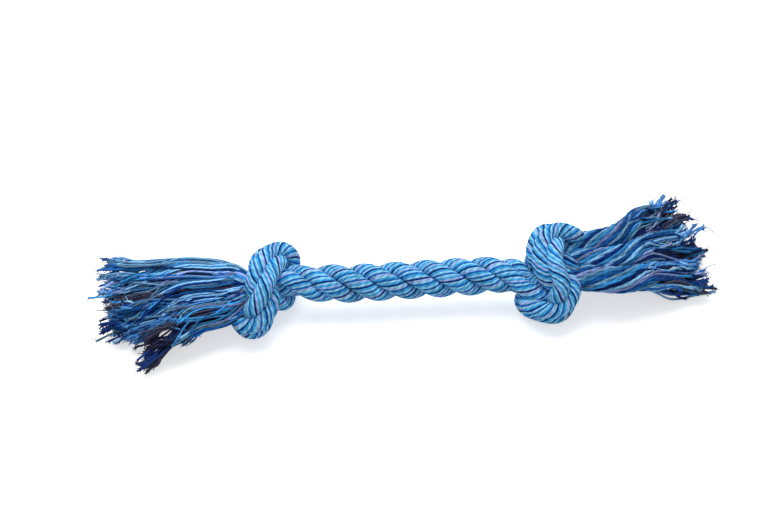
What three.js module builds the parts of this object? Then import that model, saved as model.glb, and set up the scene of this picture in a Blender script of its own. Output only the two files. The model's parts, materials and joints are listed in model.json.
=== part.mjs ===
// Rope dog toy: one length of three-strand laid cotton rope with an overhand knot drawn tight near each end.
// Past each knot the three strands are unlaid into tails, and each tail is opened into locks of loose yarn.
// Millimetres, +Z up, +X along the rope. The toy lies on its two knots and on the tips of its tails.
import * as THREE from "three";

// Rope
const ROPE_DIAMETER = 24;
const STRAND_DIAMETER = 10.4;
const LAY_LENGTH = 55;
const STRAND_NAMES = ["a", "b", "c"];

// Knots
const KNOT_SPACING = 180;
const KNOT_LAY_LENGTH = 82;
const KNOT_SQUEEZE = 0.8;
const KNOT_STRETCH = 0.1;
const KNOT_NECK = 25;
const NECK_FADE = 26;
const KNOT_FLAT = 1.8;
const KNOT_TURN_DEG = { left: 25, right: 65 };
const KNOT_TILT_DEG = { left: 54, right: 48 };

// Bends of the free rope, measured from the middle of the toy
const SIDEWAYS_BEND = 22;
const LIFTING_BEND = 46;
const BEND_RANGE_DEG = [-60, 60];

// Tails and their locks of yarn
const TAIL_START = 21.5;
const TAIL_STRAIGHT = 3;
const TAIL_HINGE = 41.5;
const TAIL_SPACING = 16.5;
const TAIL_RANGE_DEG = [-45, 75];
const TAIL_ROOT_RADIUS = 7.4;
const TAIL_TIP_RADIUS = 11.6;
const TAIL_NAMES = ["front", "middle", "back"];
const TAIL_LENGTH = { left: [45, 65, 71], right: [58, 68, 64] };
const TAIL_YAW_DEG = { left: [-19, -6, 8], right: [18, 27, 36] };
const LOCK_PLACES_DEG = [-30, 90, 210];
const LOCK_REACHES = [0.92, 1, 0.96];
const LOCK_TIP_ROUNDING = 0.55;
const ROOT_ROUNDING_DEG = [20, 45, 70];

// Clearances and fineness
const STRAND_GAP = 0.5;
const CUT_GAP = 0.35;
const TAIL_GAP = 0.55;
const STRAND_SIDES = 8;
const LOCK_SIDES = 8;
const KNOT_RING_STEP = 4;
const ROPE_RING_STEP = 5;
const LOCK_STEPS = 6;
const SPLAY_STEPS = 5;
const PATH_STEP = 4;
const SAMPLE_STEP = 1.2;
const CURVE_DIVISIONS = 4000;

// Drawing up the knots: how far the longer lay and the squeeze reach along the rope, and how the strands settle
const KNOT_LAY_END = 4.2 * ROPE_DIAMETER;
const KNOT_LAY_FADE_END = 5.6 * ROPE_DIAMETER;
const SQUEEZE_END = 3.6 * ROPE_DIAMETER;
const SQUEEZE_FADE_END = 5.4 * ROPE_DIAMETER;
const KNOT_BODY_RADIUS = 0.55 * ROPE_DIAMETER;
const KNOT_NECK_RADIUS = 1.05 * ROPE_DIAMETER;
const DRAW_ROUNDS = 6000;
const SNUG_ROUNDS = 80;
const EVENING_ROUNDS = 4;
const EVENING_SHARES = [0.5, -0.52];
const NEIGHBOUR_ROUNDS = 10;
const NEIGHBOUR_REACH = 1.8 * STRAND_DIAMETER;
const CHAIN_STEP = 0.4 * STRAND_DIAMETER;
const CHAIN_NEIGHBOURS = 5;
const HELD_POINTS = 6;
const PULL_STEP = STRAND_DIAMETER / 50;
const PRESS_SHARE = 0.3;
const STRAIGHTEN_SHARE = 0.03;
const OWN_TURN_LENGTH = 1.7 * STRAND_DIAMETER;

const LAY_RADIUS = (ROPE_DIAMETER - STRAND_DIAMETER) / 2;
const KNOT_X = { left: -KNOT_SPACING / 2, right: KNOT_SPACING / 2 };
const OUTWARD = { left: -1, right: 1 };
const radians = THREE.MathUtils.degToRad;
const ease = (t) => THREE.MathUtils.smoothstep(t, 0, 1);

// Half of the rope's way through a loose overhand knot, in rope diameters, from the middle of the front pass.
// The other half is this one turned half round about the Y axis.
const OVERHAND_HALF_ROUTE = [
  [0, -0.95, 0],
  [-0.6, -0.85, -0.75],
  [-1.1, -0.1, -1],
  [-1.1, 0.7, -0.55],
  [-0.5, 0.9, 0.3],
  [0.2, 0.3, 0.48],
  [0.95, -0.05, 0.05],
  [2, 0, 0],
  [3.5, 0, 0],
  [5, 0, 0],
];
const LOOSE_SCALE = 0.92;

// Three strands as chains of points that keep their lengths and press against one another
class StrandBundle {
  constructor(strands, diameters) {
    this.strands = strands.map((points) => points.map((p) => p.clone()));
    this.diameters = diameters;
    this.balls = this.strands.flatMap((points, strand) =>
      points.map((point, index) => ({ point, strand, index, diameter: diameters[index] })));
    this.lengths = this.strands.map((points) => points.slice(1).map((p, i) => p.distanceTo(points[i])));
  }

  findNeighbours() {
    this.pairs = [];
    for (let i = 0; i < this.balls.length; i++) {
      const a = this.balls[i];
      for (let j = i + 1; j < this.balls.length; j++) {
        const b = this.balls[j];
        const alongsideItself = a.strand === b.strand && b.index - a.index < CHAIN_NEIGHBOURS;
        if (alongsideItself || a.point.distanceTo(b.point) > NEIGHBOUR_REACH) continue;
        this.pairs.push([a.point, b.point, (a.diameter + b.diameter) / 2]);
      }
    }
  }

  pushApart() {
    for (const [a, b, distance] of this.pairs) {
      const dx = a.x - b.x;
      const dy = a.y - b.y;
      const dz = a.z - b.z;
      const squared = dx * dx + dy * dy + dz * dz;
      if (squared >= distance * distance) continue;
      const share = PRESS_SHARE * (distance / Math.sqrt(squared) - 1);
      a.set(a.x + dx * share, a.y + dy * share, a.z + dz * share);
      b.set(b.x - dx * share, b.y - dy * share, b.z - dz * share);
    }
  }

  straighten() {
    for (const points of this.strands) {
      const before = points.map((p) => p.clone());
      for (let i = 1; i < points.length - 1; i++) {
        const between = before[i - 1].clone().add(before[i + 1]).multiplyScalar(0.5);
        points[i].lerp(between, STRAIGHTEN_SHARE);
      }
    }
  }

  // Draws every link back towards its own length, and returns the mean stretch that was found
  keepLengths() {
    let stretch = 0;
    let links = 0;
    const pull = new THREE.Vector3();
    this.strands.forEach((points, strand) => {
      const count = points.length - 1;
      for (const backwards of [false, true]) {
        for (let step = 0; step < count; step++) {
          const i = backwards ? count - 1 - step : step;
          pull.subVectors(points[i + 1], points[i]);
          const length = pull.length();
          stretch += Math.abs(length / this.lengths[strand][i] - 1);
          links += 1;
          pull.multiplyScalar(0.5 * (1 - this.lengths[strand][i] / length));
          points[i].add(pull);
          points[i + 1].sub(pull);
        }
      }
    });
    return stretch / links;
  }
}

// The route through the loose knot, with a frame carried along it from the middle without turning
function looseRoute(step) {
  const half = OVERHAND_HALF_ROUTE.map((p) => new THREE.Vector3(...p));
  const otherHalf = half.slice(1).reverse().map((p) => new THREE.Vector3(-p.x, p.y, -p.z));
  const knots = [...otherHalf, ...half].map((p) => p.multiplyScalar(ROPE_DIAMETER * LOOSE_SCALE));
  const curve = new THREE.CatmullRomCurve3(knots, false, "centripetal");
  curve.arcLengthDivisions = CURVE_DIVISIONS;
  const count = 2 * Math.round(curve.getLength() / step / 2);
  const points = curve.getSpacedPoints(count);
  const middle = count / 2;
  const tangents = points.map((_, i) => {
    const next = points[Math.min(i + 1, count)];
    return next.clone().sub(points[Math.max(i - 1, 0)]).normalize();
  });
  const normals = [];
  normals[middle] = new THREE.Vector3(0, -1, 0);
  for (const direction of [1, -1]) {
    for (let i = middle + direction; i >= 0 && i <= count; i += direction) {
      const carried = normals[i - direction].clone();
      normals[i] = carried.addScaledVector(tangents[i], -carried.dot(tangents[i])).normalize();
    }
  }
  return { points, tangents, normals, middle, spacing: curve.getLength() / count };
}

// Lays the strands round the loose route and pulls both ends until the rope has stretched by KNOT_STRETCH
function drawKnot() {
  const layStretch = Math.hypot(1, 2 * Math.PI * LAY_RADIUS / LAY_LENGTH);
  const route = looseRoute(CHAIN_STEP / layStretch);
  const count = route.points.length;
  const distance = (i) => (i - route.middle) * route.spacing;
  const lays = [0];
  for (let i = 1; i < count; i++) {
    const fromMiddle = Math.abs(distance(i - 0.5));
    const freedom = THREE.MathUtils.smoothstep(fromMiddle, KNOT_LAY_END, KNOT_LAY_FADE_END);
    lays.push(lays[i - 1] + route.spacing / THREE.MathUtils.lerp(KNOT_LAY_LENGTH, LAY_LENGTH, freedom));
  }
  const turn = (strand, i) => 2 * Math.PI * (strand / STRAND_NAMES.length + lays[i] - lays[route.middle]);
  const strands = STRAND_NAMES.map((_, strand) => route.points.map((point, i) => {
    const across = new THREE.Vector3().crossVectors(route.tangents[i], route.normals[i]);
    return point.clone()
      .addScaledVector(route.normals[i], LAY_RADIUS * Math.cos(turn(strand, i)))
      .addScaledVector(across, LAY_RADIUS * Math.sin(turn(strand, i)));
  }));
  const diameters = route.points.map((_, i) => {
    const freedom = THREE.MathUtils.smoothstep(Math.abs(distance(i)), SQUEEZE_END, SQUEEZE_FADE_END);
    return STRAND_DIAMETER * THREE.MathUtils.lerp(KNOT_SQUEEZE, 1, freedom);
  });
  const bundle = new StrandBundle(strands, diameters);

  const last = route.normals[count - 1];
  const endTurn = Math.atan2(-last.z, -last.y);
  let reach = Math.abs(route.points[count - 1].x);
  const holdEnds = () => {
    bundle.strands.forEach((points, strand) => {
      for (let held = 0; held < HELD_POINTS; held++) {
        for (const side of [-1, 1]) {
          const i = side < 0 ? held : count - 1 - held;
          const angle = turn(strand, i) + side * endTurn;
          points[i].set(side * (reach - held * route.spacing), -LAY_RADIUS * Math.cos(angle),
            -LAY_RADIUS * Math.sin(angle));
        }
      }
    });
  };

  for (let round = 0; round < DRAW_ROUNDS; round++) {
    if (round % NEIGHBOUR_ROUNDS === 0) bundle.findNeighbours();
    bundle.pushApart();
    bundle.pushApart();
    bundle.straighten();
    reach += bundle.keepLengths() < KNOT_STRETCH ? PULL_STEP : -PULL_STEP;
    holdEnds();
  }
  return bundle;
}

// Turns a drawn knot's body about its front pass, as the knot was worked snug by hand, and lets it settle
function snugKnot(drawn, turnDeg) {
  const turned = drawn.strands.map((points) => points.map((p) => {
    const fromAxis = Math.hypot(p.x, p.z);
    const fade = 1 - THREE.MathUtils.smoothstep(fromAxis, KNOT_BODY_RADIUS, KNOT_NECK_RADIUS);
    return p.clone().applyAxisAngle(new THREE.Vector3(0, 1, 0), -radians(turnDeg) * fade);
  }));
  const bundle = new StrandBundle(turned, drawn.diameters);
  for (let round = 0; round < SNUG_ROUNDS; round++) {
    if (round % NEIGHBOUR_ROUNDS === 0) bundle.findNeighbours();
    bundle.pushApart();
    bundle.straighten();
    bundle.keepLengths();
  }
  return bundle.strands;
}

// The stretch of a strand through its knot, between two planes across the rope on either side of it
function throughKnot(points, from, to) {
  const crossing = (a, b, x) => a.clone().lerp(b, (x - a.x) / (b.x - a.x));
  let first = 0;
  while (points[first + 1].x < from) first += 1;
  let last = points.length - 1;
  while (points[last - 1].x > to) last -= 1;
  return [
    crossing(points[first], points[first + 1], from),
    ...points.slice(first + 1, last),
    crossing(points[last - 1], points[last], to),
  ];
}

// Both knots on the rope's axis, which lies at z = 0 until the toy is lifted onto the ground
const drawn = drawKnot();
const knots = {};
for (const side of ["left", "right"]) {
  const from = side === "left" ? -TAIL_START : -KNOT_NECK;
  const to = side === "left" ? KNOT_NECK : TAIL_START;
  const strands = snugKnot(drawn, KNOT_TURN_DEG[side]).map((points) => throughKnot(points, from, to)
    .map((p) => p.applyAxisAngle(new THREE.Vector3(1, 0, 0), -radians(KNOT_TILT_DEG[side]))));
  strands.flat().forEach((p) => p.setX(p.x + KNOT_X[side]));
  knots[side] = strands;
}

function meanOf(points) {
  const sum = new THREE.Vector3();
  points.forEach((p) => sum.add(p));
  return sum.divideScalar(points.length);
}

// The free rope: a helix whose turns meet the strands of both knots
function meanPhase(ends) {
  const neck = meanOf(ends);
  let y = 0;
  let z = 0;
  ends.forEach((p, strand) => {
    const phase = Math.atan2(p.z - neck.z, p.y - neck.y) - 2 * Math.PI * strand / STRAND_NAMES.length;
    y += Math.cos(phase);
    z += Math.sin(phase);
  });
  return Math.atan2(z, y);
}
const freeStart = KNOT_X.left + KNOT_NECK;
const freeLength = KNOT_SPACING - 2 * KNOT_NECK;
const startPhase = meanPhase(knots.left.map((points) => points.at(-1)));
const endPhase = meanPhase(knots.right.map((points) => points[0]));
const wholeTurns = Math.round(freeLength / LAY_LENGTH - (endPhase - startPhase) / (2 * Math.PI));
const phaseGain = endPhase - startPhase + 2 * Math.PI * wholeTurns;

function freeStrand(strand) {
  const helix = (t) => {
    const angle = startPhase + phaseGain * t + 2 * Math.PI * strand / STRAND_NAMES.length;
    const x = freeStart + freeLength * t;
    return new THREE.Vector3(x, LAY_RADIUS * Math.cos(angle), LAY_RADIUS * Math.sin(angle));
  };
  const startMiss = knots.left[strand].at(-1).clone().sub(helix(0));
  const endMiss = knots.right[strand][0].clone().sub(helix(1));
  const count = Math.ceil(freeLength / ROPE_RING_STEP) * 2;
  return Array.from({ length: count - 1 }, (_, i) => {
    const t = (i + 1) / count;
    return helix(t)
      .addScaledVector(startMiss, 1 - ease(t * freeLength / NECK_FADE))
      .addScaledVector(endMiss, 1 - ease((1 - t) * freeLength / NECK_FADE));
  });
}

// Tails: the strands leave the knot side by side, front to back, each with its own hinge and heading
function tailsOf(side) {
  const ends = knots[side].map((points) => (side === "left" ? points[0] : points.at(-1)));
  const order = ends.map((_, strand) => strand).sort((a, b) => ends[a].y - ends[b].y);
  const neck = meanOf(ends);
  return order.map((strand, rank) => {
    const yaw = radians(TAIL_YAW_DEG[side][rank]);
    const heading = new THREE.Vector3(OUTWARD[side] * Math.cos(yaw), Math.sin(yaw), 0);
    const hinge = new THREE.Vector3(KNOT_X[side] + OUTWARD[side] * TAIL_HINGE,
      neck.y + (rank - 1) * TAIL_SPACING, neck.z);
    const name = `${side}_${TAIL_NAMES[rank]}_tail`;
    return { name, strand, heading, hinge, length: TAIL_LENGTH[side][rank] };
  });
}
const tails = [...tailsOf("left"), ...tailsOf("right")];

// A strand from its knot to the hinge of its tail
function splay(from, direction, tail) {
  const end = tail.hinge.clone().addScaledVector(tail.heading, -TAIL_ROOT_RADIUS - TAIL_GAP);
  const straightStart = end.clone().addScaledVector(tail.heading, -TAIL_STRAIGHT);
  const reach = from.distanceTo(straightStart) / 3;
  const curve = new THREE.CubicBezierCurve3(from, from.clone().addScaledVector(direction, reach),
    straightStart.clone().addScaledVector(tail.heading, -reach), straightStart);
  return [...curve.getSpacedPoints(SPLAY_STEPS).slice(1), end.clone().lerp(straightStart, 0.5), end];
}

// The same way in equal steps, with the small kinks between its stretches drawn out but its turns left as wide
function evened(points) {
  const curve = new THREE.CatmullRomCurve3(points, false, "centripetal");
  curve.arcLengthDivisions = CURVE_DIVISIONS;
  const even = curve.getSpacedPoints(Math.round(curve.getLength() / PATH_STEP));
  for (let round = 0; round < EVENING_ROUNDS; round++) {
    for (const share of EVENING_SHARES) {
      const before = even.map((p) => p.clone());
      for (let i = 2; i < even.length - 2; i++) {
        even[i].lerp(before[i - 1].clone().add(before[i + 1]).multiplyScalar(0.5), share);
      }
    }
  }
  return even;
}

// Whole strands from tail to tail
const strandPaths = STRAND_NAMES.map((_, strand) => {
  const left = knots.left[strand];
  const right = knots.right[strand];
  const [leftTail, rightTail] = tails.filter((tail) => tail.strand === strand);
  const leftSplay = splay(left[0], left[0].clone().sub(left[1]).normalize(), leftTail).reverse();
  const rightSplay = splay(right.at(-1), right.at(-1).clone().sub(right.at(-2)).normalize(), rightTail);
  return evened([...leftSplay, ...left, ...freeStrand(strand), ...right, ...rightSplay]);
});

// Points along each strand, and near each point those of other strands, or of its own other turns, that press on it
const sampled = strandPaths.map((points) => {
  const curve = new THREE.CatmullRomCurve3(points, false, "centripetal");
  curve.arcLengthDivisions = CURVE_DIVISIONS;
  const length = curve.getLength();
  const samples = curve.getSpacedPoints(Math.round(length / SAMPLE_STEP));
  return { curve, length, samples, step: length / Math.round(length / SAMPLE_STEP) };
});
const alongside = (strand, i, other, j) => other === strand && Math.abs(i - j) * strand.step < OWN_TURN_LENGTH;
sampled.forEach((strand) => {
  strand.pressing = strand.samples.map((p, i) => sampled.flatMap((other) => other.samples.filter((q, j) =>
    !alongside(strand, i, other, j) && p.distanceTo(q) < STRAND_DIAMETER + STRAND_GAP)));
});

// How far a strand reaches across its way in a direction: its own radius, or half way to a strand that presses on it
function reachOf(strand, first, last, direction) {
  let reach = STRAND_DIAMETER / 2;
  for (let i = Math.max(0, first); i <= Math.min(last, strand.samples.length - 1); i++) {
    for (const neighbour of strand.pressing[i]) {
      const towards = neighbour.clone().sub(strand.samples[i]);
      const distance = towards.length();
      const facing = direction.dot(towards) / distance;
      if (facing > 0) reach = Math.min(reach, (distance - STRAND_GAP) / 2 / facing);
    }
  }
  return reach;
}

// The lift that lays both knots on the ground, pressed flat by KNOT_FLAT
const DOWNWARDS = new THREE.Vector3(0, 0, -1);
const lift = {};
for (const side of ["left", "right"]) {
  const undersides = sampled.flatMap((strand) => strand.samples.map((p, i) =>
    (Math.abs(p.x - KNOT_X[side]) < TAIL_START ? p.z - reachOf(strand, i, i, DOWNWARDS) : Infinity)));
  lift[side] = -Math.min(...undersides) - KNOT_FLAT;
}
const liftAt = (x) => THREE.MathUtils.mapLinear(
  THREE.MathUtils.clamp(x, KNOT_X.left, KNOT_X.right), KNOT_X.left, KNOT_X.right, lift.left, lift.right);
tails.forEach((tail) => tail.hinge.setZ(tail.hinge.z + liftAt(tail.hinge.x)));

// A closed skin over a row of rings, each ring an equal list of points, turning the same way round
function loft(rings) {
  const sides = rings[0].length;
  const coordinates = rings.flat().flatMap((p) => p.toArray());
  const faces = [];
  for (let r = 0; r + 1 < rings.length; r++) {
    for (let s = 0; s < sides; s++) {
      const a = r * sides + s;
      const b = r * sides + (s + 1) % sides;
      faces.push(a, b, a + sides, b, b + sides, a + sides);
    }
  }
  const end = (rings.length - 1) * sides;
  for (let s = 1; s + 1 < sides; s++) {
    faces.push(0, s + 1, s);
    faces.push(end, end + s, end + s + 1);
  }
  const geometry = new THREE.BufferGeometry();
  geometry.setAttribute("position", new THREE.Float32BufferAttribute(coordinates, 3));
  geometry.setIndex(faces);
  return geometry;
}

// One length of a strand between two distances along it, flattened where it lies on the ground
function strandLength(strand, from, to, ringStep) {
  const { curve, length, step } = strand;
  const count = Math.max(2, Math.round((to - from) / ringStep));
  const rings = [];
  let normal = new THREE.Vector3(0, 0, 1);
  for (let i = 0; i <= count; i++) {
    const distance = from + (to - from) * i / count;
    const share = Math.min(distance / length, 1);
    const centre = curve.getPointAt(share);
    centre.z += liftAt(centre.x);
    const tangent = curve.getTangentAt(share);
    normal = normal.clone().addScaledVector(tangent, -normal.dot(tangent)).normalize();
    const across = new THREE.Vector3().crossVectors(tangent, normal);
    const near = Math.round(distance / step);
    const window = Math.ceil(ringStep / step / 2);
    rings.push(Array.from({ length: STRAND_SIDES }, (_, s) => {
      const angle = 2 * Math.PI * s / STRAND_SIDES;
      const direction = normal.clone().multiplyScalar(Math.cos(angle)).addScaledVector(across, Math.sin(angle));
      const p = centre.clone().addScaledVector(direction, reachOf(strand, near - window, near + window, direction));
      p.z = Math.max(p.z, 0);
      return p;
    }));
  }
  return rings;
}

// Three round locks that fill a round tail: how far each stands from the tail's middle, and its radius
function lockSize(tailRadius) {
  const offset = (tailRadius + CUT_GAP / 2) / (1 + Math.sin(Math.PI / 3));
  return { offset, radius: tailRadius - offset };
}

// One lock of yarn: a third of its strand, rounded at the hinge, drooping to the ground as it swells
function lock(tail, place) {
  const side = new THREE.Vector3(0, 0, 1).cross(tail.heading);
  const placeAngle = radians(LOCK_PLACES_DEG[place]);
  const tip = lockSize(TAIL_TIP_RADIUS);
  const drop = tip.radius - tip.offset * Math.sin(radians(LOCK_PLACES_DEG[0])) - tail.hinge.z;
  const stations = ROOT_ROUNDING_DEG.map((degrees) => ({
    t: 0,
    out: -TAIL_ROOT_RADIUS * Math.cos(radians(degrees)),
    rounding: Math.sin(radians(degrees)),
  }));
  for (let i = 0; i <= LOCK_STEPS; i++) {
    const t = LOCK_REACHES[place] * i / LOCK_STEPS;
    stations.push({ t, out: t * tail.length, rounding: i === LOCK_STEPS ? LOCK_TIP_ROUNDING : 1 });
  }
  const rings = stations.map(({ t, out, rounding }) => {
    const slope = drop * 6 * t * (1 - t) / tail.length;
    const along = tail.heading.clone().add(new THREE.Vector3(0, 0, slope)).normalize();
    const up = new THREE.Vector3().crossVectors(along, side);
    const size = lockSize(THREE.MathUtils.lerp(TAIL_ROOT_RADIUS, TAIL_TIP_RADIUS, ease(t)));
    const offset = t === 0 ? size.offset * rounding : size.offset;
    const radius = size.radius * rounding;
    const centre = tail.hinge.clone().addScaledVector(tail.heading, out)
      .addScaledVector(side, offset * Math.cos(placeAngle))
      .addScaledVector(up, offset * Math.sin(placeAngle));
    centre.z += drop * ease(t);
    return Array.from({ length: LOCK_SIDES }, (_, s) => {
      const angle = 2 * Math.PI * (s + 0.5) / LOCK_SIDES;
      const p = centre.clone().addScaledVector(side, radius * Math.cos(angle))
        .addScaledVector(up, radius * Math.sin(angle));
      p.z = Math.max(p.z, 0);
      return p;
    });
  });
  return loft(rings);
}

// Dyed cotton: each strand and each lock has its own mix of the rope's blues
function cotton(colour) {
  return new THREE.MeshStandardMaterial({ color: colour, roughness: 0.95, metalness: 0 });
}
const STRAND_COLOURS = ["#4f9fd6", "#2f7fbf", "#6f93cf"];
const LOCK_COLOURS = ["#5aa9dc", "#2b3f7d", "#8f93cc"];

const toy = new THREE.Group();
function add(name, geometry, colour) {
  const mesh = new THREE.Mesh(geometry, cotton(colour));
  mesh.name = name;
  toy.add(mesh);
}

// Each strand in five lengths: left knot, left bend, middle, right bend, right knot
const strandRings = sampled.map(() => []);
sampled.forEach((strand, index) => {
  const { samples, step, length } = strand;
  const distanceAt = (x) => samples.findIndex((p) => p.x >= x) * step;
  const cuts = [-LIFTING_BEND, -SIDEWAYS_BEND, SIDEWAYS_BEND, LIFTING_BEND].map(distanceAt);
  const names = ["left_knot", "left_bend", "middle", "right_bend", "right_knot"];
  const bounds = [0, ...cuts, length];
  names.forEach((name, i) => {
    const from = i === 0 ? 0 : bounds[i] + CUT_GAP / 2;
    const to = i === names.length - 1 ? length : bounds[i + 1] - CUT_GAP / 2;
    const ringStep = name.endsWith("knot") ? KNOT_RING_STEP : ROPE_RING_STEP;
    const rings = strandLength(strand, from, to, ringStep);
    strandRings[index].push(...rings);
    add(`${name}_strand_${STRAND_NAMES[index]}`, loft(rings), STRAND_COLOURS[index]);
  });
});

// The least gap between the strands and the least width of a strand, measured on the points of their rings
let leastGap = Infinity;
let leastWidth = Infinity;
strandRings.forEach((rings, index) => {
  const others = strandRings.slice(index + 1).flat(2);
  rings.forEach((ring) => ring.forEach((p, s) => {
    leastWidth = Math.min(leastWidth, p.distanceTo(ring[(s + STRAND_SIDES / 2) % STRAND_SIDES]));
    others.forEach((q) => {
      leastGap = Math.min(leastGap, p.distanceTo(q));
    });
  }));
});
console.log(`least gap between strands ${leastGap.toFixed(2)} mm, least width ${leastWidth.toFixed(2)} mm`);

// Three locks of yarn on each tail
for (const tail of tails) {
  LOCK_COLOURS.forEach((colour, place) => add(`${tail.name}_lock_${place + 1}`, lock(tail, place), colour));
}

// The origin is under the middle of the toy, on the ground
const box = new THREE.Box3().setFromObject(toy);
const middle = box.getCenter(new THREE.Vector3());
toy.position.set(-middle.x, -middle.y, -box.min.z);

// Where the toy moves: the pivot, axis and range of each hinge in the toy's own frame
const upwards = new THREE.Vector3(0, 0, 1);
const leftLift = new THREE.Vector3(0, 1, 0);
const rightLift = new THREE.Vector3(0, -1, 0);
const onAxis = (x) => new THREE.Vector3(x, 0, liftAt(x));
const bend = (name, x, axis) => ({ name, pivot: onAxis(x), axis, range: BEND_RANGE_DEG });
const hinges = [
  bend("left_sideways_bend", -SIDEWAYS_BEND, upwards),
  bend("right_sideways_bend", SIDEWAYS_BEND, upwards),
  bend("left_lifting_bend", -LIFTING_BEND, leftLift),
  bend("right_lifting_bend", LIFTING_BEND, rightLift),
  ...tails.map((tail) => ({
    name: `${tail.name}_lift`,
    pivot: tail.hinge,
    axis: new THREE.Vector3().crossVectors(tail.heading, upwards),
    range: TAIL_RANGE_DEG,
  })),
];
toy.userData.hinges = hinges.map((hinge) => ({ ...hinge, pivot: hinge.pivot.clone().add(toy.position) }));

export default toy;
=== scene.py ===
# Rope dog toy: one length of three-strand laid cotton rope with an overhand knot drawn tight near each end,
# and past each knot the three strands unlaid into frayed tails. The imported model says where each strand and
# each lock of the tails runs, and the yarns that they are made of are modelled here, each as its own tube.
import json
import math

import bpy
import numpy as np
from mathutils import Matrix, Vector


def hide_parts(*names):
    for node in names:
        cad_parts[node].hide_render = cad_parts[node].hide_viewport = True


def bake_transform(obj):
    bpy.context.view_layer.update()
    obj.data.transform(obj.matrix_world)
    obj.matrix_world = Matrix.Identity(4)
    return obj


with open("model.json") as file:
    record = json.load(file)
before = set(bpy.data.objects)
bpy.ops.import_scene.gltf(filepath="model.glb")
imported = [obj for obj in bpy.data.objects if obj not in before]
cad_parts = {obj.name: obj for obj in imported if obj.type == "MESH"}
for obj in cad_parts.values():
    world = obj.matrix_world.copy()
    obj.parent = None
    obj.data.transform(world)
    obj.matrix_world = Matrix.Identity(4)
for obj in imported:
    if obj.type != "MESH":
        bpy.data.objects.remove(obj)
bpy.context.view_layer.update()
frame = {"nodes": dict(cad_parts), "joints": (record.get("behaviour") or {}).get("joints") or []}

# Camera: it looks down on the toy at about fifty degrees, a touch from its left, so that the right end lies
# a little higher in the picture. The middle of the rope is right of and below the picture's centre.
MM = 0.001
IMAGE_WIDTH = 770
IMAGE_HEIGHT = 512
PIXELS_PER_MM = 1.6
LENS_MM = 60
SENSOR_MM = 36
VIEW_AZIMUTH = math.radians(-3.7)
VIEW_ELEVATION = math.radians(52)
ROPE_MIDDLE_PIXEL = (409, 280)

hinge_at = {joint["name"]: Vector(joint["pos_m"]) for joint in frame["joints"]}
rope_middle = (hinge_at["left_sideways_bend"] + hinge_at["right_sideways_bend"]) / 2

camera = bpy.data.objects.new("camera", bpy.data.cameras.new("camera"))
camera.data.lens = LENS_MM
camera.data.sensor_width = SENSOR_MM
bpy.context.scene.collection.objects.link(camera)
bpy.context.scene.camera = camera
back = Vector((
    math.sin(VIEW_AZIMUTH) * math.cos(VIEW_ELEVATION),
    -math.cos(VIEW_AZIMUTH) * math.cos(VIEW_ELEVATION),
    math.sin(VIEW_ELEVATION),
))
turn = (-back).to_track_quat("-Z", "Y")
camera.rotation_mode = "QUATERNION"
camera.rotation_quaternion = turn
distance = IMAGE_WIDTH * LENS_MM / SENSOR_MM / PIXELS_PER_MM * MM
rightwards = (IMAGE_WIDTH / 2 - ROPE_MIDDLE_PIXEL[0]) / PIXELS_PER_MM * MM
upwards = (ROPE_MIDDLE_PIXEL[1] - IMAGE_HEIGHT / 2) / PIXELS_PER_MM * MM
camera.location = rope_middle + back * distance + turn @ Vector((rightwards, upwards, 0))


# Studio: a white sheet under the toy, one large soft lamp above and a little behind it, and dim light from
# all round. The sheet looks white to the camera, and keeps the toy's soft shadow.
def rgb(hex_colour):
    """The linear colour of an sRGB hex value."""
    parts = [int(hex_colour[i:i + 2], 16) / 255 for i in (1, 3, 5)]
    return [c / 12.92 if c <= 0.04045 else ((c + 0.055) / 1.055) ** 2.4 for c in parts]


def node(tree, kind, inputs, **settings):
    """A new shader node, each of its inputs a value or a link."""
    made = tree.nodes.new(kind)
    for name, value in settings.items():
        setattr(made, name, value)
    for key, value in inputs.items():
        if isinstance(value, bpy.types.NodeSocket):
            tree.links.new(value, made.inputs[key])
        else:
            made.inputs[key].default_value = value
    return made


SHEET_SIZE = 6
SHEET_WHITE = "#f6f6f6"
SHEET_GLOW = 0.56
SKY_LIGHT = 0.42
SKY_SEEN = 1.0
LAMP_SIZE = 0.7
LAMP_POWER = 8
LAMP_PLACE = Vector((-0.1, 0.25, 0.9))

sheet_paper = bpy.data.materials.new("white_paper_sheet")
sheet_paper.use_nodes = True
paper_tree = sheet_paper.node_tree
paper_shader = paper_tree.nodes["Principled BSDF"]
paper_shader.inputs["Base Color"].default_value = (*rgb(SHEET_WHITE), 1)
paper_shader.inputs["Roughness"].default_value = 0.9
paper_shader.inputs["Specular IOR Level"].default_value = 0.1
paper_shader.inputs["Emission Color"].default_value = (1, 1, 1, 1)
paper_rays = node(paper_tree, "ShaderNodeLightPath", {})
paper_seen = paper_rays.outputs["Is Camera Ray"]
glow = node(paper_tree, "ShaderNodeMath", {0: paper_seen, 1: SHEET_GLOW}, operation="MULTIPLY")
paper_tree.links.new(glow.outputs[0], paper_shader.inputs["Emission Strength"])
half = SHEET_SIZE / 2
sheet_corners = [(-half, -half, 0), (half, -half, 0), (half, half, 0), (-half, half, 0)]
sheet_mesh = bpy.data.meshes.new("sheet")
sheet_mesh.from_pydata(sheet_corners, [], [(0, 1, 2, 3)])
sheet_mesh.materials.append(sheet_paper)
sheet = bpy.data.objects.new("sheet", sheet_mesh)
bpy.context.scene.collection.objects.link(sheet)

world = bpy.data.worlds.new("studio")
world.use_nodes = True
sky = world.node_tree.nodes["Background"]
sky.inputs["Color"].default_value = (1, 1, 1, 1)
sky_rays = node(world.node_tree, "ShaderNodeLightPath", {})
sky_seen = sky_rays.outputs["Is Camera Ray"]
sky_strength = node(world.node_tree, "ShaderNodeMapRange", {0: sky_seen, 3: SKY_LIGHT, 4: SKY_SEEN})
world.node_tree.links.new(sky_strength.outputs[0], sky.inputs["Strength"])
bpy.context.scene.world = world
bpy.context.scene.view_settings.view_transform = "Standard"

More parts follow.
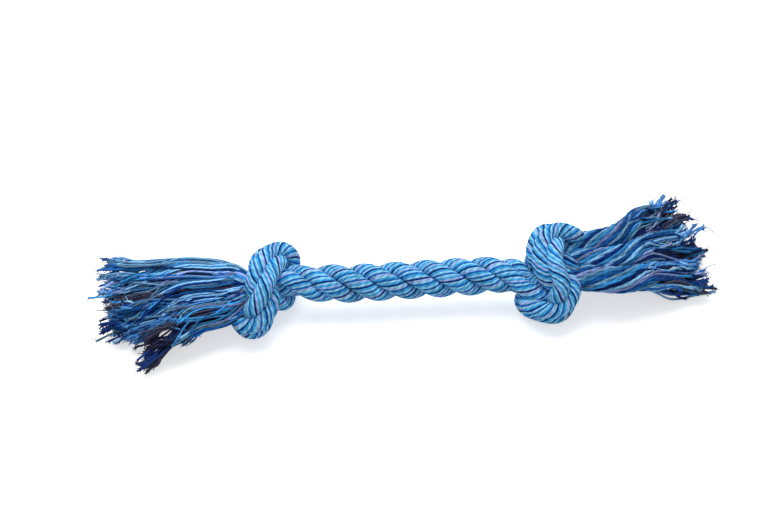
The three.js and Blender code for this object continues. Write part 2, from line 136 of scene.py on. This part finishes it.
lamp = bpy.data.objects.new("soft_lamp", bpy.data.lights.new("soft_lamp", "AREA"))
lamp.data.energy = LAMP_POWER
lamp.data.size = LAMP_SIZE
lamp.location = LAMP_PLACE
lamp.rotation_mode = "QUATERNION"
lamp.rotation_quaternion = (rope_middle - LAMP_PLACE).to_track_quat("-Z", "Y")
bpy.context.scene.collection.objects.link(lamp)

# Dyed cotton yarn: soft spun and loosely plied, so it is matt, a little furry against the light, and its
# plies show as shallow slanting grooves, whose hollows are also darkened in the base colour as painted shade.
# The dye is uneven along each yarn. Plies and fibres are drawn at about their real size.
PLIES = 2
PLY_PITCH_MM = 5.2
PLY_DEPTH_MM = 0.16
FIBRE_MM = 0.4
FIBRE_DEPTH = 0.35
DYE_PATCH_MM = 11
RELIEF_STRENGTH = 0.8
# Inputs of Map Range nodes: 1 and 2 are the range that comes in, and 3 and 4 the one that goes out.
PLY_ROUNDING = {1: -1.0, 2: 0.6}
NOISE_RANGE = {1: 0.3, 2: 0.7}
# GROOVE_SHADE is painted shade: how dark the base colour is in the ply grooves.
GROOVE_SHADE = {3: 0.66, 4: 1.0}
FIBRE_SHADE = {3: 0.82, 4: 1.12}
DYE_SHADE = {3: 0.8, 4: 1.2}

cotton = bpy.data.materials.new("dyed_cotton_yarn")
cotton.use_nodes = True
tree = cotton.node_tree
shader = tree.nodes["Principled BSDF"]
shader.inputs["Roughness"].default_value = 0.88
shader.inputs["IOR"].default_value = 1.5
shader.inputs["Specular IOR Level"].default_value = 0.1
shader.inputs["Sheen Weight"].default_value = 0.02
shader.inputs["Sheen Roughness"].default_value = 0.45

way_map = node(tree, "ShaderNodeUVMap", {}, uv_map="yarn_way")
way_parts = node(tree, "ShaderNodeSeparateXYZ", {0: way_map.outputs["UV"]})
across_turns = node(tree, "ShaderNodeMath", {0: way_parts.outputs["X"], 1: PLIES}, operation="MULTIPLY")
along_turns = node(tree, "ShaderNodeMath", {0: way_parts.outputs["Y"], 1: PLY_PITCH_MM}, operation="DIVIDE")
turn_parts = {0: across_turns.outputs[0], 1: along_turns.outputs[0]}
ply_turns = node(tree, "ShaderNodeMath", turn_parts, operation="ADD")
ply_angle = node(tree, "ShaderNodeMath", {0: ply_turns.outputs[0], 1: 2 * math.pi}, operation="MULTIPLY")
ply_wave = node(tree, "ShaderNodeMath", {0: ply_angle.outputs[0]}, operation="SINE")
ply_range = {0: ply_wave.outputs[0], **PLY_ROUNDING}
plies = node(tree, "ShaderNodeMapRange", ply_range, interpolation_type="SMOOTHSTEP")

place = node(tree, "ShaderNodeTexCoord", {}).outputs["Object"]
fibre_scale, patch_scale = 1 / (FIBRE_MM * MM), 1 / (DYE_PATCH_MM * MM)
fibre_noise = node(tree, "ShaderNodeTexNoise", {"Vector": place, "Scale": fibre_scale, "Detail": 2.0})
dye_noise = node(tree, "ShaderNodeTexNoise", {"Vector": place, "Scale": patch_scale, "Detail": 3.0})

# Painted shade: the base colour is darker in the ply grooves, and the fibres and dye patches vary its tone.
groove_shade = node(tree, "ShaderNodeMapRange", {0: plies.outputs[0], **GROOVE_SHADE})
fibre_shade = node(tree, "ShaderNodeMapRange", {0: fibre_noise.outputs["Fac"], **NOISE_RANGE, **FIBRE_SHADE})
dye_shade = node(tree, "ShaderNodeMapRange", {0: dye_noise.outputs["Fac"], **NOISE_RANGE, **DYE_SHADE})
groove_shade_and_fibre_parts = {0: groove_shade.outputs[0], 1: fibre_shade.outputs[0]}
groove_shade_and_fibre = node(tree, "ShaderNodeMath", groove_shade_and_fibre_parts, operation="MULTIPLY")
shade = node(tree, "ShaderNodeMath", {0: groove_shade_and_fibre.outputs[0], 1: dye_shade.outputs[0]}, operation="MULTIPLY")
dye = node(tree, "ShaderNodeAttribute", {}, attribute_name="yarn_colour")
dyed_and_shaded_parts = {0: dye.outputs["Color"], "Scale": shade.outputs[0]}
dyed_and_shaded = node(tree, "ShaderNodeVectorMath", dyed_and_shaded_parts, operation="SCALE")
tree.links.new(dyed_and_shaded.outputs["Vector"], shader.inputs["Base Color"])

relief_parts = {0: fibre_noise.outputs["Fac"], 1: FIBRE_DEPTH, 2: plies.outputs[0]}
relief = node(tree, "ShaderNodeMath", relief_parts, operation="MULTIPLY_ADD")
bump_inputs = {"Height": relief.outputs[0], "Distance": PLY_DEPTH_MM * MM, "Strength": RELIEF_STRENGTH}
bump = node(tree, "ShaderNodeBump", bump_inputs)
tree.links.new(bump.outputs["Normal"], shader.inputs["Normal"])

# The three strands: each is a bundle of soft yarns, twisted against the way that the strands are laid, so
# that the yarns on the outside of the rope run nearly straight along it. Eighteen cover yarns in a mix of
# blues and lavender go round a dark core, and in the knots the strands press into one another.
DYES = {
    "sky": rgb("#98dcff"),
    "blue": rgb("#44b0f2"),
    "royal": rgb("#1c70c4"),
    "navy": rgb("#0f3c8a"),
    "lavender": rgb("#a8c4f8"),
}
COVER_ORDER = {
    "a": "sky royal sky blue lavender navy sky blue royal sky blue sky royal lavender blue sky navy blue",
    "b": "blue sky navy lavender sky royal blue sky royal sky blue navy sky blue lavender royal sky royal",
    "c": "sky navy blue sky royal lavender sky blue royal sky blue navy sky lavender royal blue sky royal",
}
COVER_DYES = {letter: [DYES[name] for name in order.split()] for letter, order in COVER_ORDER.items()}
COVER_YARNS = 18
YARN_SIDES = 8
YARN_RADIUS_MM = 0.88
YARN_TWIST_PER_MM = -0.232
WAY_STEP_MM = 1.8
STRAND_SIDES = 8
STRAND_RADIUS_MM = 5.45
STRAND_EASING = 3
CORE_RADIUS_SHARE = 0.68
RING_REACH_MM = 2 * STRAND_RADIUS_MM + 1
RING_FLATNESS_MM = 0.01
BAKE_MARGIN = 0.01
STRIP_GAP = 0.05
DISC_SHARE = 0.4
STRETCHES = ["left_knot", "left_bend", "middle", "right_bend", "right_knot"]


def tube_middles(name, sides, direction):
    """The middle of each ring of a tube-like node in mm, from the end that lies furthest along direction."""
    mesh = frame["nodes"][name].data
    corners = np.empty(len(mesh.vertices) * 3)
    mesh.vertices.foreach_get("co", corners)
    corners = corners.reshape(-1, 3) / MM
    _, first, weld = np.unique(np.round(corners, 3), axis=0, return_index=True, return_inverse=True)
    points = corners[first]
    faces = weld.ravel()[np.array([face.vertices for face in mesh.polygons])]
    neighbours = [set() for _ in points]
    for face in faces:
        for corner in face:
            neighbours[corner].update(face)
    end = np.argmax(points @ np.array(direction, float))
    near = np.linalg.norm(points - points[end], axis=1) < RING_REACH_MM
    for face in faces[(faces == end).any(axis=1)]:
        a, b, c = points[face]
        across = np.cross(b - a, c - a)
        flat = np.abs((points - a) @ across) / np.linalg.norm(across) < RING_FLATNESS_MM
        ring = set(np.flatnonzero(flat & near))
        if len(ring) == sides:
            break
    seen, middles = set(), []
    while ring:
        middles.append(points[sorted(ring)].mean(axis=0))
        seen |= ring
        ring = set().union(*(neighbours[corner] for corner in ring)) - seen
    return np.array(middles)


def evenly_spaced(points, step):
    """A smooth way through points in even steps: how far along each new point lies, and its place."""
    gaps = np.linalg.norm(np.diff(points, axis=0), axis=1)
    along = np.concatenate(([0], np.cumsum(gaps)))
    slopes = np.gradient(points, along, axis=0)
    at = np.linspace(0, along[-1], round(along[-1] / step) + 1)
    i = np.clip(np.searchsorted(along, at, side="right") - 1, 0, len(gaps) - 1)
    gap = gaps[i][:, None]
    t = (at - along[i])[:, None] / gap
    places = (1 + 2 * t) * (1 - t) ** 2 * points[i] + t * (1 - t) ** 2 * gap * slopes[i]
    places += t * t * (3 - 2 * t) * points[i + 1] + t * t * (t - 1) * gap * slopes[i + 1]
    return at, places


def eased(points, rounds):
    """The same way with its small kinks drawn out, its ends held."""
    points = points.copy()
    for _ in range(rounds):
        points[1:-1] += 0.5 * ((points[:-2] + points[2:]) / 2 - points[1:-1])
    return points


def unit(vectors):
    return vectors / np.linalg.norm(vectors, axis=-1, keepdims=True)


def carried(points, normal, across):
    """Two directions across a way, carried along it without turning about it."""
    normals, acrosses = np.empty_like(points), np.empty_like(points)
    for i, tangent in enumerate(unit(np.gradient(points, axis=0))):
        normal = unit(normal - tangent * (normal @ tangent))
        across = unit(across - tangent * (across @ tangent) - normal * (across @ normal))
        normals[i], acrosses[i] = normal, across
    return normals, acrosses


def yarn(points, seam, radius, dye, span, sides=YARN_SIDES):
    """The part of a round yarn in span: points is its whole way, and its plies start on the side of seam."""
    tangent = unit(np.gradient(points, axis=0))[span]
    normal = unit(seam[span] - tangent * (seam[span] * tangent).sum(axis=1, keepdims=True))
    step = np.linalg.norm(np.diff(points, axis=0), axis=1)
    return {
        "centre": points[span],
        "normal": normal,
        "across": np.cross(tangent, normal),
        "radius": np.broadcast_to(radius, len(points))[span],
        "along": np.concatenate(([0], np.cumsum(step)))[span],
        "dye": np.broadcast_to(dye, points.shape)[span],
        "sides": sides,
    }


def yarn_piece(name, yarns):
    """A mesh of closed yarns: map yarn_way has turns round and mm along each, and OFBake a strip for each."""
    vertices, faces, dyes, ways, strips = [], [], [], [], []
    base = 0
    for k, each in enumerate(yarns):
        sides, count, along = each["sides"], len(each["centre"]), each["along"]
        angles = 2 * np.pi * np.arange(sides) / sides
        cosines, sines = np.cos(angles)[:, None], np.sin(angles)[:, None]
        outward = each["normal"][:, None] * cosines + each["across"][:, None] * sines
        vertices.append((each["centre"][:, None] + outward * each["radius"][:, None, None]).reshape(-1, 3))
        dyes.append(np.repeat(np.column_stack((each["dye"], np.ones(count))), sides, axis=0))
        grids = np.meshgrid(np.arange(count - 1), np.arange(sides), indexing="ij")
        ring, side = (grid.ravel() for grid in grids)
        corner_ring = np.stack((ring, ring, ring + 1, ring + 1), axis=1)
        corner_side = np.stack((side, side + 1, side + 1, side), axis=1)
        faces.extend((base + corner_ring * sides + corner_side % sides).tolist())
        ways.append(np.stack((corner_side / sides, along[corner_ring]), axis=2).reshape(-1, 2))
        share = (along[corner_ring] - along[0]) / (along[-1] - along[0])
        strip_u = (k + STRIP_GAP + (1 - 2 * STRIP_GAP) * corner_side / sides) / len(yarns)
        strip_v = BAKE_MARGIN + (1 - 2 * BAKE_MARGIN) * share
        strips.append(np.stack((strip_u, strip_v), axis=2).reshape(-1, 2))
        for end, order in ((0, np.arange(sides)[::-1]), (count - 1, np.arange(sides))):
            faces.append((base + end * sides + order).tolist())
            ways.append(np.stack((order / sides, np.full(sides, along[end])), axis=1))
            disc = np.stack((np.cos(angles[order]) / len(yarns), np.sin(angles[order]) * BAKE_MARGIN), axis=1)
            disc_middle = (k + 0.5) / len(yarns), BAKE_MARGIN / 2 if end == 0 else 1 - BAKE_MARGIN / 2
            strips.append(DISC_SHARE * disc + disc_middle)
        base += count * sides
    mesh = bpy.data.meshes.new(name)
    mesh.from_pydata((np.concatenate(vertices) * MM).tolist(), [], faces)
    mesh.polygons.foreach_set("use_smooth", [len(face) == 4 for face in faces])
    for map_name, corners in (("yarn_way", ways), ("OFBake", strips)):
        layer = mesh.uv_layers.new(name=map_name)
        layer.uv.foreach_set("vector", np.concatenate(corners).astype(np.float32).ravel())
    colour = mesh.attributes.new("yarn_colour", "FLOAT_COLOR", "POINT")
    colour.data.foreach_set("color", np.concatenate(dyes).astype(np.float32).ravel())
    mesh.materials.append(cotton)
    piece = bpy.data.objects.new(name, mesh)
    bpy.context.scene.collection.objects.link(piece)
    return piece


strands = {}
for letter in COVER_DYES:
    middles = []
    for stretch in STRETCHES:
        from_left = stretch == "right_knot"
        rings = tube_middles(f"{stretch}_strand_{letter}", STRAND_SIDES, (-1 if from_left else 1, 0, 0))
        middles.append(rings if from_left else rings[::-1])
    at, middle = evenly_spaced(np.concatenate(middles), WAY_STEP_MM)
    middle = eased(middle, STRAND_EASING)
    first_tangent = unit(middle[1] - middle[0])
    normal = np.cross(first_tangent, (0, 0, 1))
    normals, across = carried(middle, normal, np.cross(first_tangent, normal))
    strands[letter] = {"at": at, "middle": middle, "normals": normals, "across": across, "cuts": {}}

# Each strand is cut where the rope's two bends meet, at the middle of the toy and inside the knots where the
# tails begin, so that every piece holds one joint only. The yarns go on at a cut, so it can't be seen.
TAIL_CUT_MM = {"left": 36, "right": 34}
UP = np.array((0.0, 0.0, 1.0))

bend_x = {name: place.x / MM for name, place in hinge_at.items() if name.endswith("bend")}
inner_cuts = [
    (bend_x["left_sideways_bend"] + bend_x["left_lifting_bend"]) / 2,
    rope_middle.x / MM,
    (bend_x["right_sideways_bend"] + bend_x["right_lifting_bend"]) / 2,
]
tails = {}
for joint in frame["joints"]:
    if joint["name"].endswith("_tail_lift"):
        side = joint["name"].split("_")[0]
        hinge = np.array(joint["pos_m"]) / MM
        end = 0 if side == "left" else -1
        tails[joint["name"].removesuffix("_lift")] = {
            "side": side,
            "hinge": hinge,
            "heading": np.cross(UP, joint["axis"]),
            "letter": min(strands, key=lambda c: np.linalg.norm(strands[c]["middle"][end] - hinge)),
        }

for letter, strand in strands.items():
    middle, at = strand["middle"], strand["at"]
    for tail in tails.values():
        if tail["letter"] == letter:
            inside = np.flatnonzero((middle - tail["hinge"]) @ tail["heading"] < -TAIL_CUT_MM[tail["side"]])
            strand["cuts"][tail["side"]] = inside[0 if tail["side"] == "left" else -1]
    bundles = {"left_knot": [], "left_rope": [], "right_rope": [], "right_knot": []}
    for k in range(COVER_YARNS + 1):
        core = k == COVER_YARNS
        phase = 2 * np.pi * k / COVER_YARNS + YARN_TWIST_PER_MM * at
        outward = strand["normals"] * np.cos(phase)[:, None] + strand["across"] * np.sin(phase)[:, None]
        radius = CORE_RADIUS_SHARE * STRAND_RADIUS_MM if core else YARN_RADIUS_MM
        centre = middle + outward * (0 if core else STRAND_RADIUS_MM - YARN_RADIUS_MM)
        centre[:, 2] = np.maximum(centre[:, 2], radius)
        x = centre[:, 0]
        bend_cuts = [len(x) - np.argmax(x[::-1] < cut) for cut in inner_cuts]
        cuts = [strand["cuts"]["left"], *bend_cuts, strand["cuts"]["right"]]
        yarn_dye_and_shade = DYES["navy"] if core else COVER_DYES[letter][k]
        for bundle, start, stop in zip(bundles.values(), cuts, cuts[1:]):
            bundle.append(yarn(centre, outward, radius, yarn_dye_and_shade, slice(start, stop + 1)))
    for stretch, bundle in bundles.items():
        piece = yarn_piece(f"{stretch}_yarns_{letter}", bundle)
        side = stretch.split("_")[0]
        if stretch.endswith("knot"):
            hinge = hinge_at[f"{side}_lifting_bend"]
            stands_for = [f"{side}_knot_strand_{letter}", f"{side}_bend_strand_{letter}"]
        else:
            hinge = hinge_at[f"{side}_sideways_bend"]
            stands_for = [f"middle_strand_{letter}"]
        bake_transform(piece)
        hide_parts(*stands_for)

# The frayed tails: the strands are unlaid past the knots. On the left they burst open at the knot itself, and
# on the right they stay loosely twisted further. The cover yarns part into singles that spread over the
# outside of each tail, some worn short, and the darker core comes out between them in blunt, fluffy tufts.
INK = rgb("#2a2f50")
SLATE = rgb("#484a66")
NAVY = rgb("#20438c")
ROYAL = rgb("#246aba")
FLUFF = rgb("#5498e2")
PALE = rgb("#84c4f8")
# A slight blue cast on the painted shade and tone of the tails' cover yarns.
LOOSE_TINT = np.array((0.95, 0.94, 1.08))
# The shares of each tail's length between which its cover yarns end, and the dyes of its nine tufts.
COVER_ENDS = {
    "left_front_tail": (0.08, 0.34),
    "left_middle_tail": (0.5, 0.9),
    "left_back_tail": (0.64, 0.92),
    "right_front_tail": (0.6, 1.0),
    "right_middle_tail": (0.4, 0.85),
    "right_back_tail": (0.45, 0.95),
}
TUFT_DYES = {
    "left_front_tail": [INK, SLATE, NAVY, INK, SLATE, FLUFF, FLUFF, NAVY, INK],
    "left_middle_tail": [INK, NAVY, NAVY, ROYAL, FLUFF, SLATE, SLATE, NAVY, INK],
    "left_back_tail": [NAVY, ROYAL, FLUFF, PALE, ROYAL, PALE, ROYAL, NAVY, SLATE],
    "right_front_tail": [NAVY, INK, FLUFF, FLUFF, ROYAL, NAVY, SLATE, NAVY, INK],
    "right_middle_tail": [INK, SLATE, NAVY, PALE, FLUFF, INK, INK, NAVY, INK],
    "right_back_tail": [NAVY, FLUFF, PALE, FLUFF, INK, SLATE, SLATE, NAVY, INK],
}
# For the tails of each side: where a strand opens, in mm past its hinge, and its radius once it has loosened;
# the half length of the bend at the hinge, and how far the tail goes on past its lock; the number of singles
# in a cover yarn and their radius; how far their colour is darkened or lightened, as painted shade over the
# tail and as tone that differs from yarn to yarn; how far they mingle and wander round the tail, in radians;
# and the shares of the tail's length between which its tufts end.
TAIL_SHAPES = {
    "left": {
        "opens": (-36, -6), "strand": 7.6, "bends": 14, "longer": 2, "singles": 4, "single": 0.62,
        "painted_shade_and_tone": (0.22, 1.4), "mingling": 0.5, "wander": 0.9, "ends": (0.76, 0.92),
    },
    "right": {
        "opens": (6, 34), "strand": 8.6, "bends": 12, "longer": 8, "singles": 3, "single": 0.74,
        "painted_shade_and_tone": (0.4, 1.0), "mingling": 0.3, "wander": 0.4, "ends": (0.82, 0.96),
    },
}
LOCK_SIDES = 8
LOCK_ROOT_RINGS = 3
LOCK_PLACES_DEG = {1: -30, 2: 90, 3: 210}
TAIL_STEP_MM = 2
TAIL_EASING = 8
FANS_MM = 12
NECK_SHARE = 0.65
LOOSENS_MM = 10
LOOSE_TWIST = 0.3
HALF_WIDTH_MM = (10.5, 15)
HALF_HEIGHT_MM = (8.6, 10.5)
SINGLE_SIDES = 6
SINGLE_OFFSET_MM = 0.66
SINGLE_PLY_PITCH_MM = 4 * PLY_PITCH_MM
CORE_YARNS = 66
CORE_SPREAD = 0.95
CORE_AREA = (0.02, 1)
CORE_DYE_RANGE = (0.75, 1.25)
CORE_KEPT = (0.92, 1.0)
COVER_DEPTH = (0.85, 1.0)
# The power that makes most cover yarns of a tail dark, as painted shade, and only a few of them light.
SHADE_AND_TONE_POWER = 1.6
TUFT_SPOTS_DEG = (-40, 0, 40)
TUFT_SHIFT_DEG = 10
TUFT_REACH = (0.5, 0.95)
GATHERING = 0.5
GATHERS_FROM = 0.15
GATHERS_OVER = 0.7
TUFT_SWAY_MM = 3.5
YARN_SWAY_MM = 2.4
SWAY_WAVES = (0.6, 1.3)
SWAY_GROWTH = 1.1
WANDER_GROWTH = 1.5
STRAY_SHARE = 1.1
CURL_MM = np.array((2.6, 2.6, 1.56))
CURLS_MM = 18
LEAST_STEPS = 3
FLOOR_REST = (1.2, 2)
SWELL_MM = 6
TIP_SHARE = 0.75
FLUFFY_END = {"swelling": 1.0, "fibres": 9}
PLAIN_END = {"swelling": 0.4, "fibres": 4}
FIBRE_SIDES = 4
FIBRE_POINTS = 6
FIBRE_RADIUS_MM = 0.24
FIBRE_LENGTH_MM = (1.82, 3.64)
FIBRE_ROOT_MM = 1.5
FIBRE_SPREAD = 0.5
FIBRE_SLANT = 0.4
FIBRE_CURL = 0.25
FIBRE_SEAM = (0.3, 0.5, 0.8)
HAIR_SHARE = 0.05
HAIR_LENGTH_MM = (6, 12)
rng = np.random.default_rng(8)


def smoothstep(t):
    t = np.clip(t, 0, 1)
    return t * t * (3 - 2 * t)


def between(ends, share):
    """What lies a share of the way from the first of two ends to the second."""
    return ends[0] + (ends[1] - ends[0]) * share


def sway(share, size):
    """A slow random wandering along a tail, none at its root."""
    moved = np.zeros((len(share), 3))
    for waves in SWAY_WAVES:
        phase = rng.uniform(0, 2 * np.pi, 3)
        moved += rng.normal(0, size, 3) / (1 + waves) * np.sin(2 * np.pi * waves * share[:, None] + phase)
    return moved * smoothstep(share * SWAY_GROWTH)[:, None]


def tail_way(name, tail):
    """A tail's way from its cut inside the knot, fanned straight out of the knot and on through its locks."""
    side, hinge, strand = tail["side"], tail["hinge"], strands[tail["letter"]]
    first = strand["cuts"][side]
    index = np.arange(first, -1, -1) if side == "left" else np.arange(first, len(strand["at"]))
    locks = [tube_middles(f"{name}_lock_{n}", LOCK_SIDES, -tail["heading"]) for n in LOCK_PLACES_DEG]
    outer = np.mean(locks, axis=0)[LOCK_ROOT_RINGS:]
    tip = outer[-1:] + unit(outer[-1] - outer[-2]) * TAIL_SHAPES[side]["longer"]
    _, beyond = evenly_spaced(np.concatenate((strand["middle"][index[-1:]], outer, tip)), TAIL_STEP_MM)
    way = np.concatenate((strand["middle"][index], beyond[1:]))
    to_hinge = np.abs(way[:, 0] - hinge[0]) * ((way - hinge) @ tail["heading"] < 0)
    gathered = 1 - (1 - NECK_SHARE) * to_hinge / TAIL_CUT_MM[side]
    middle_y = tails[f"{side}_middle_tail"]["hinge"][1]
    fan_y = middle_y + (hinge[1] - middle_y) * gathered
    straight = np.column_stack((way[:, 0], fan_y, np.full(len(way), hinge[2])))
    fanned = smoothstep((to_hinge[0] - to_hinge) / FANS_MM) * (to_hinge > 0)
    return eased(way + (straight - way) * fanned[:, None], TAIL_EASING)


def tail_tufts(dyes, ends, share):
    """The tufts that the core of a tail ends in, three for each lock, with their places across the tail."""
    tufts = []
    for n, lock_place in LOCK_PLACES_DEG.items():
        for spot in TUFT_SPOTS_DEG:
            spot = math.radians(lock_place + spot + rng.uniform(-TUFT_SHIFT_DEG, TUFT_SHIFT_DEG))
            reach = rng.uniform(*TUFT_REACH)
            tufts.append({
                "lock": n,
                "aside": reach * math.cos(spot),
                "up": reach * math.sin(spot),
                "sway": sway(share, TUFT_SWAY_MM),
                "end": rng.uniform(*ends),
                "dye": dyes[len(tufts)],
            })
    return tufts


def frayed_end(tip, aim, radius, dye, fibre_count):
    """The fibres at the end of a yarn, one of them now and then a long hair."""
    lengths = rng.uniform(*FIBRE_LENGTH_MM, fibre_count)
    if rng.uniform() < HAIR_SHARE:
        lengths[0] = rng.uniform(*HAIR_LENGTH_MM)
    t = np.linspace(0, 1, FIBRE_POINTS)[:, None]
    fibres = []
    for length in lengths:
        root = tip - aim * FIBRE_ROOT_MM + rng.normal(0, FIBRE_SPREAD * radius, 3)
        fibre = root + unit(aim + rng.normal(0, FIBRE_SLANT, 3)) * t * length
        fibre = fibre + rng.normal(0, FIBRE_CURL * length, 3) * t * t
        fibre[:, 2] = np.maximum(fibre[:, 2], FIBRE_RADIUS_MM)
        seam = np.broadcast_to(np.cross(aim, FIBRE_SEAM), fibre.shape)
        fibres.append(yarn(fibre, seam, FIBRE_RADIUS_MM, dye, slice(None), FIBRE_SIDES))
    return fibres


for name, tail in tails.items():
    side, hinge, heading = tail["side"], tail["hinge"], tail["heading"]
    shape, strand = TAIL_SHAPES[side], strands[tail["letter"]]
    singles, single_radius = shape["singles"], shape["single"]
    first = strand["cuts"][side]
    sideways = np.cross(UP, heading)
    way = tail_way(name, tail)
    tangents = unit(np.gradient(way, axis=0))
    normals, across = carried(way, strand["normals"][first], strand["across"][first])
    step = np.concatenate(([0], np.linalg.norm(np.diff(way, axis=0), axis=1)))
    along = np.cumsum(step)
    past_hinge = along - np.interp(0, (way - hinge) @ heading, along)
    share = np.clip(past_hinge / past_hinge[-1], 0, 1)

    # What changes along the tail: the strand loosens, opens and untwists, and the tail widens.
    loosened = smoothstep((past_hinge - past_hinge[0]) / LOOSENS_MM)
    opened = smoothstep((past_hinge - shape["opens"][0]) / (shape["opens"][1] - shape["opens"][0]))
    twist = YARN_TWIST_PER_MM * (-1 if side == "left" else 1) * between((1, LOOSE_TWIST), loosened)
    twist *= 1 - opened
    turned = YARN_TWIST_PER_MM * strand["at"][first] + np.cumsum(step * twist)
    strand_radius = between((STRAND_RADIUS_MM, shape["strand"]), loosened)
    single_reach = strand_radius - SINGLE_OFFSET_MM - single_radius
    half_width, half_height = between(HALF_WIDTH_MM, share), between(HALF_HEIGHT_MM, share)
    drawn = GATHERING * smoothstep((share - GATHERS_FROM) / GATHERS_OVER)
    tufts = tail_tufts(TUFT_DYES[name], shape["ends"], share)

    bundles = {n: [] for n in LOCK_PLACES_DEG}
    for k in range(COVER_YARNS * singles + CORE_YARNS):
        # The yarn's place round the strand while it is twisted, and across the tail once it is loose.
        cover = k < COVER_YARNS * singles
        own, single = divmod(k, singles)
        place_round = turned + 2 * np.pi * (own / COVER_YARNS if cover else rng.uniform())
        place_round = place_round + rng.normal(0, shape["mingling"]) * opened
        place_round = place_round + rng.normal(0, shape["wander"]) * smoothstep(share * WANDER_GROWTH)
        depth = rng.uniform(*COVER_DEPTH) if cover else CORE_SPREAD * math.sqrt(rng.uniform(*CORE_AREA))
        outward = normals * np.cos(place_round)[:, None] + across * np.sin(place_round)[:, None]
        twisted = outward * (single_reach * (1 if cover else depth))[:, None]
        if cover:
            ply = 2 * np.pi * (single / singles + along / SINGLE_PLY_PITCH_MM)
            beside = np.cross(tangents, outward)
            twisted += SINGLE_OFFSET_MM * (outward * np.cos(ply)[:, None] + beside * np.sin(ply)[:, None])
        aside, up = depth * outward @ sideways, depth * outward[:, 2]
        tuft = min(tufts, key=lambda t: (t["aside"] - aside[-1]) ** 2 + (t["up"] - up[-1]) ** 2)
        aside, up = aside + (tuft["aside"] - aside) * drawn, up + (tuft["up"] - up) * drawn
        loose = sideways * (aside * half_width)[:, None] + UP * (up * half_height)[:, None]
        loose += tuft["sway"] + sway(share, YARN_SWAY_MM)
        points = way + twisted + (loose - twisted) * opened[:, None]

        # Cover yarns darken unevenly as they loosen, as painted shade over the tail with a tone that differs
        # from yarn to yarn, and a core yarn has the dye of its tuft.
        painted_shade_and_tone = between(shape["painted_shade_and_tone"], rng.uniform() ** SHADE_AND_TONE_POWER) * LOOSE_TINT
        if cover:
            yarn_dye_and_shade = np.array(COVER_DYES[tail["letter"]][own]) * (1 + (painted_shade_and_tone - 1) * loosened[:, None])
        else:
            yarn_dye_and_shade = np.broadcast_to(np.array(tuft["dye"]) * rng.uniform(*CORE_DYE_RANGE), way.shape)
        ending = FLUFFY_END if not cover and tuft["dye"] in (FLUFF, PALE) else PLAIN_END

        # The yarn curls and swells towards its end, stays with its tail and lies on the floor.
        curl = rng.normal(0, 1, 3) * CURL_MM
        kept = rng.uniform(*COVER_ENDS[name]) if cover else tuft["end"] * rng.uniform(*CORE_KEPT)
        stop = min(max(LEAST_STEPS, np.searchsorted(share, kept)), len(way) - 1)
        to_end = past_hinge[stop] - past_hinge
        points += curl * smoothstep(1 - to_end / CURLS_MM)[:, None] ** 2
        strayed = np.linalg.norm(points - way, axis=1) / (STRAY_SHARE * half_width)
        points = way + (points - way) / np.maximum(strayed, 1)[:, None]
        points[:, 2] = np.maximum(points[:, 2], single_radius * rng.uniform(*FLOOR_REST))
        radius = single_radius * (1 + ending["swelling"] * smoothstep(1 - to_end / SWELL_MM))
        radius[stop:] *= TIP_SHARE
        bundle = bundles[tuft["lock"]]
        bundle.append(yarn(points, outward, radius, yarn_dye_and_shade, slice(0, stop + 1), SINGLE_SIDES))
        aim = unit(points[stop] - points[stop - 2])
        bundle.extend(frayed_end(points[stop], aim, radius[stop], yarn_dye_and_shade[stop], ending["fibres"]))

    for n, bundle in bundles.items():
        piece = yarn_piece(f"{name}_yarns_{n}", bundle)
        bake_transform(piece)
        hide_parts(f"{name}_lock_{n}")
